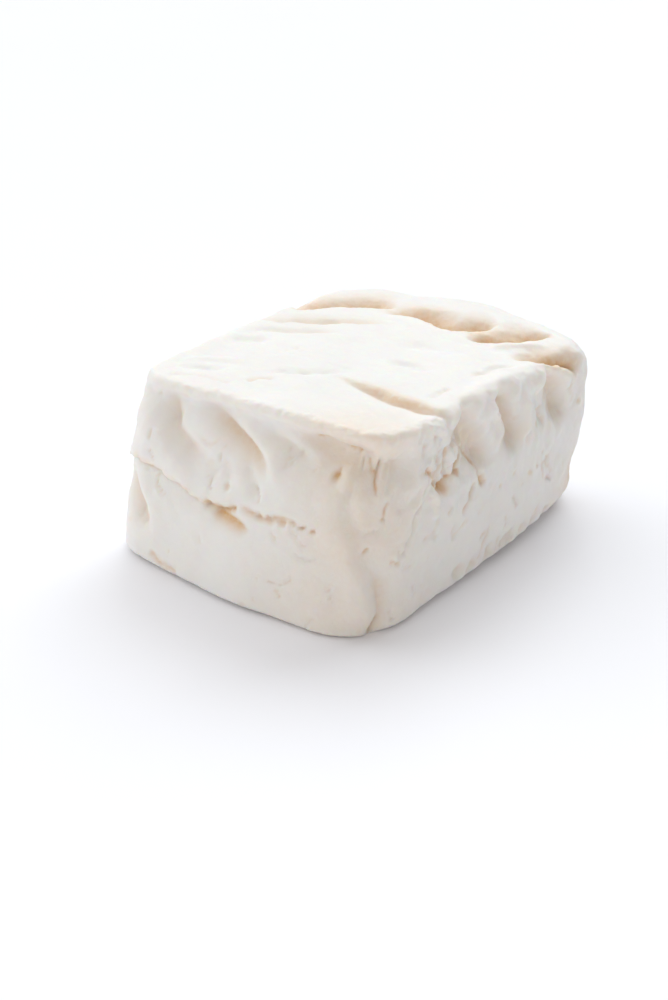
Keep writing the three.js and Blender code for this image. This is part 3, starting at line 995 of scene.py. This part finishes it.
def cheese_material():
    """Soft white curd: two creams in soft patches, a darker warm colour painted in as shade where
    the surface is pressed in, and a fine grain.

    The painted shade's share is the shade value * a fleck noise from 0.6 to 1.25, held under 1. The
    bump's height is the grain noise + CURD_HEIGHT * curd * crumbly.
    """
    n = Nodes("fresh_cheese")
    place_on = n.add("ShaderNodeTexCoord").outputs["Object"]

    patches = n.add("ShaderNodeTexNoise", Vector=place_on, Scale=PATCHES, Detail=3.0, Roughness=0.55)
    cream = n.add("ShaderNodeValToRGB", Fac=patches.outputs["Fac"])
    cream.color_ramp.elements[0].position = 0.3
    cream.color_ramp.elements[0].color = CREAM
    cream.color_ramp.elements[1].position = 0.7
    cream.color_ramp.elements[1].color = PALE_CREAM

    # painted shade: how much of the darker warm colour each point gets
    painted_shade = n.add("ShaderNodeAttribute", {"attribute_name": "painted_shade"}).outputs["Fac"]
    fleck = n.add("ShaderNodeTexNoise", Vector=place_on, Scale=FLECKS, Detail=2.0)
    broken = n.add("ShaderNodeMapRange", Value=fleck.outputs["Fac"], To_Min=0.6, To_Max=1.25)
    share = n.add("ShaderNodeMath", {"operation": "MULTIPLY", "use_clamp": True})
    n.link(painted_shade, share.inputs[0])
    n.link(broken.outputs["Result"], share.inputs[1])
    colour = n.add("ShaderNodeMix", {"data_type": "RGBA"})
    n.link(share.outputs["Value"], colour.inputs["Factor"])
    n.link(cream.outputs["Color"], colour.inputs[MIX_FROM])
    colour.inputs[MIX_TO].default_value = WARM_SHADE_COLOUR
    n.link(colour.outputs[MIX_RESULT], n.shader.inputs["Base Color"])

    crumbly = n.add("ShaderNodeAttribute", {"attribute_name": "crumbly"}).outputs["Fac"]
    grain = n.add("ShaderNodeTexNoise", Vector=place_on, Scale=GRAINS, Detail=5.0, Roughness=0.65)
    curd = n.add("ShaderNodeTexVoronoi", {"feature": "SMOOTH_F1"}, Vector=place_on, Scale=CURDS)
    rough_part = n.add("ShaderNodeMath", {"operation": "MULTIPLY"})
    n.link(curd.outputs["Distance"], rough_part.inputs[0])
    n.link(crumbly, rough_part.inputs[1])
    height = n.add("ShaderNodeMath", {"operation": "MULTIPLY_ADD"})
    n.link(rough_part.outputs["Value"], height.inputs[0])
    height.inputs[1].default_value = CURD_HEIGHT
    n.link(grain.outputs["Fac"], height.inputs[2])
    bump = n.add("ShaderNodeBump", Strength=0.5, Distance=GRAIN_HEIGHT)
    n.link(height.outputs["Value"], bump.inputs["Height"])
    n.link(bump.outputs["Normal"], n.shader.inputs["Normal"])

    sheen = n.add("ShaderNodeMapRange", Value=patches.outputs["Fac"], To_Min=0.42, To_Max=0.62)
    n.link(sheen.outputs["Result"], n.shader.inputs["Roughness"])
    n.shader.inputs["Specular IOR Level"].default_value = 0.45
    n.shader.inputs["IOR"].default_value = 1.44
    n.shader.inputs["Subsurface Weight"].default_value = 0.6
    n.shader.inputs["Subsurface Radius"].default_value = SCATTER_SHARES
    n.shader.inputs["Subsurface Scale"].default_value = SCATTER
    return n.material


def table_material():
    """A plain pale table top, faintly uneven."""
    n = Nodes("pale_table")
    place_on = n.add("ShaderNodeTexCoord").outputs["Object"]
    mottle = n.add("ShaderNodeTexNoise", Vector=place_on, Scale=6.0, Detail=2.0)
    tone = n.add("ShaderNodeValToRGB", Fac=mottle.outputs["Fac"])
    for element, colour in zip(tone.color_ramp.elements, TABLE_TONES):
        element.color = colour
    n.link(tone.outputs["Color"], n.shader.inputs["Base Color"])
    n.shader.inputs["Roughness"].default_value = 0.6
    n.shader.inputs["Specular IOR Level"].default_value = 0.25
    return n.material


# ---------------------------------------------------------------- the stage

# The camera: how far round to the right of the front and how high it stands, and what it looks at.
AZIMUTH = math.radians(37.8)
ELEVATION = math.radians(25.9)
DISTANCE = 280 * MM
LENS = 50.4
SENSOR = 36
NEAREST_SEEN = 10 * MM
AIM = Vector((15.5, -30.5, 22)) * MM

TABLE_REACH = 6.0

# The pale room: its colour, its strength on its bright side and opposite, and where that side is.
ROOM_COLOUR = (1.0, 0.975, 0.945, 1)
ROOM_FRONT, ROOM_BACK = 0.7, 0.11
BRIGHT_SIDE = Vector((0.6, -1, 0))


def make_camera():
    """A camera at DISTANCE from AIM, which it looks at."""
    data = bpy.data.cameras.new("camera")
    data.lens = LENS
    data.sensor_width = SENSOR
    data.clip_start = NEAREST_SEEN
    camera = bpy.data.objects.new("camera", data)
    towards = Vector((
        math.sin(AZIMUTH) * math.cos(ELEVATION),
        -math.cos(AZIMUTH) * math.cos(ELEVATION),
        math.sin(ELEVATION),
    ))
    camera.location = AIM + towards * DISTANCE
    camera.rotation_euler = (-towards).to_track_quat("-Z", "Y").to_euler()
    bpy.context.scene.collection.objects.link(camera)
    bpy.context.scene.camera = camera


def make_sun(name, azimuth, elevation, spread, strength, colour):
    """A soft distant light. Azimuth 0 is in front, along -Y, and 90 to the right, along +X."""
    data = bpy.data.lights.new(name, "SUN")
    data.angle = math.radians(spread)
    data.energy = strength
    data.color = colour
    lamp = bpy.data.objects.new(name, data)
    a, e = math.radians(azimuth), math.radians(elevation)
    towards = Vector((math.sin(a) * math.cos(e), -math.cos(a) * math.cos(e), math.sin(e)))
    lamp.rotation_euler = towards.to_track_quat("Z", "Y").to_euler()
    bpy.context.scene.collection.objects.link(lamp)


def make_table():
    """A flat table top under the block, TABLE_REACH metres to each side."""
    mesh = bpy.data.meshes.new("table")
    sides = [(-1, -1), (1, -1), (1, 1), (-1, 1)]
    corners = [(x * TABLE_REACH, y * TABLE_REACH, 0) for x, y in sides]
    mesh.from_pydata(corners, [], [(0, 1, 2, 3)])
    mesh.materials.append(table_material())
    table = bpy.data.objects.new("table", mesh)
    bpy.context.scene.collection.objects.link(table)


def light_the_room():
    """High windows behind and to the left of the block, a low white wall, and a pale room.

    The room's strength in a direction goes evenly with the cosine of its angle to BRIGHT_SIDE, from
    ROOM_BACK where that is -1 to ROOM_FRONT where it is 1.
    """
    world = bpy.data.worlds.new("pale_room")
    world.use_nodes = True
    tree = world.node_tree
    background = tree.nodes["Background"]
    background.inputs["Color"].default_value = ROOM_COLOUR
    direction = tree.nodes.new("ShaderNodeTexCoord")
    towards = tree.nodes.new("ShaderNodeVectorMath")
    towards.operation = "DOT_PRODUCT"
    towards.inputs[1].default_value = BRIGHT_SIDE.normalized()
    strength = tree.nodes.new("ShaderNodeMapRange")
    strength.inputs["From Min"].default_value = -1
    strength.inputs["To Min"].default_value = ROOM_BACK
    strength.inputs["To Max"].default_value = ROOM_FRONT
    tree.links.new(direction.outputs["Generated"], towards.inputs[0])
    tree.links.new(towards.outputs["Value"], strength.inputs["Value"])
    tree.links.new(strength.outputs["Result"], background.inputs["Strength"])
    bpy.context.scene.world = world
    make_sun(
        "window_behind",
        azimuth=190, elevation=45, spread=45, strength=1.52, colour=(0.92, 0.97, 1.0),
    )
    make_sun(
        "window_left",
        azimuth=252, elevation=49, spread=60, strength=1.35, colour=(0.93, 0.97, 1.0),
    )
    make_sun(
        "white_wall_left",
        azimuth=-55, elevation=8, spread=70, strength=0.75, colour=(1, 1, 1),
    )
    bpy.context.scene.view_settings.view_transform = "Standard"


make_camera()
make_table()
light_the_room()
make_block(cheese_material())
